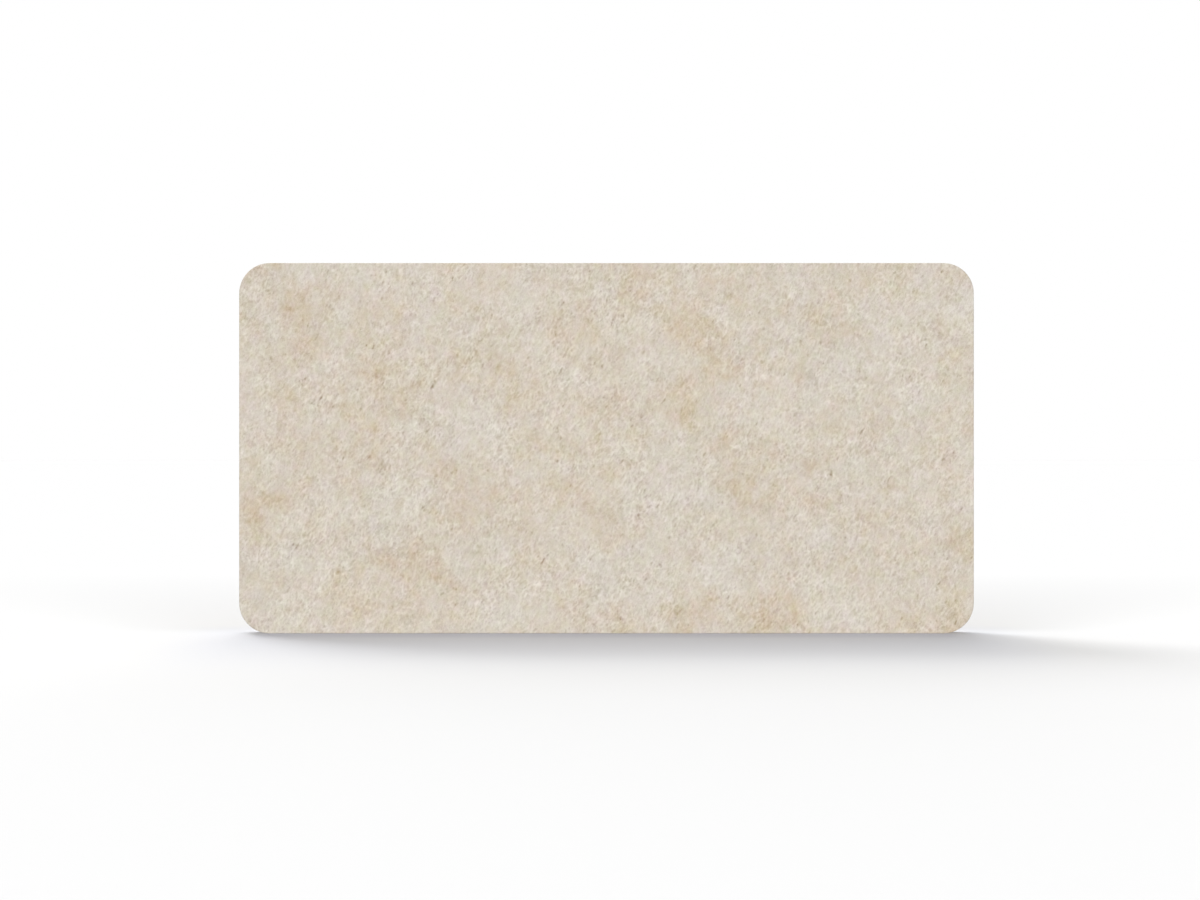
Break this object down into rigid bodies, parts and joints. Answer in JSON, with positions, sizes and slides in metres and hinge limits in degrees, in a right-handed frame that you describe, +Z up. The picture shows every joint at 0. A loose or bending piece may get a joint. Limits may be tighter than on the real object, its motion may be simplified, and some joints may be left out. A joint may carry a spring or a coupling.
{
  "type": "acoustic divider screen",
  "caption": "Low acoustic divider screen: a rounded, felt-covered panel on a timber frame that stands on its long lower edge, with levelling glides and bracket threads underneath.",
  "frame": {"origin": "middle of the footprint on the floor, under the middle of the screen", "axes": "+X along the screen to the right as seen from the front, +Y through the thickness away from the viewer, so the pictured face is at -Y, +Z up"},
  "size_m": [1.21, 0.04, 0.61],
  "materials": {
    "felt": "pale beige mottled needled felt of recycled fibre",
    "foam": "open-cell foam, off-white",
    "fleece": "white polyester fleece",
    "timber": "planed softwood",
    "wool": "grey polyester wool slab",
    "dowel": "beech dowel",
    "card": "brown card",
    "staple_wire": "galvanised flat wire",
    "zinc": "zinc-plated, satin",
    "nylon": "black nylon, matte",
    "stem_steel": "bright zinc-plated steel"
  },
  "bodies": {
    "panel": {"front_felt": "felt", "back_felt": "felt", "rim_felt_band": "felt", "closing_felt_strip": "felt", "front_foam_pad": "foam", "back_foam_pad": "foam", "rim_fleece": "fleece", "top_rail": "timber", "bottom_rail": "timber", "left_stile": "timber", "right_stile": "timber", "left_upright": "timber", "right_upright": "timber", "left_infill": "wool", "centre_infill": "wool", "right_infill": "wool", "corner_dowels": "dowel", "front_tack_strip": "card", "back_tack_strip": "card", "staples": "staple_wire", "bracket_inserts": "zinc", "left_glide_insert": "zinc", "right_glide_insert": "zinc"},
    "left_foot": {"left_glide_foot": "nylon"},
    "left_stem": {"left_glide_stem": "stem_steel"},
    "right_foot": {"right_glide_foot": "nylon"},
    "right_stem": {"right_glide_stem": "stem_steel"}
  },
  "joints": [
    {"name": "left_glide_travel", "type": "slide", "parent": "panel", "child": "left_foot", "axis": [0, 0, -1], "range_m": [0, 0.012]},
    {"name": "left_glide_turn", "type": "hinge", "parent": "left_foot", "child": "left_stem", "pos_m": [-0.5, 0, 0.02], "axis": [0, 0, -1], "range_deg": [0, 3456]},
    {"name": "right_glide_travel", "type": "slide", "parent": "panel", "child": "right_foot", "axis": [0, 0, -1], "range_m": [0, 0.012]},
    {"name": "right_glide_turn", "type": "hinge", "parent": "right_foot", "child": "right_stem", "pos_m": [0.5, 0, 0.02], "axis": [0, 0, -1], "range_deg": [0, 3456]}
  ],
  "couplings": [
    {"joint": "left_glide_turn", "follows": "left_glide_travel", "rad_per_m": 5026.5},
    {"joint": "right_glide_turn", "follows": "right_glide_travel", "rad_per_m": 5026.5}
  ]
}
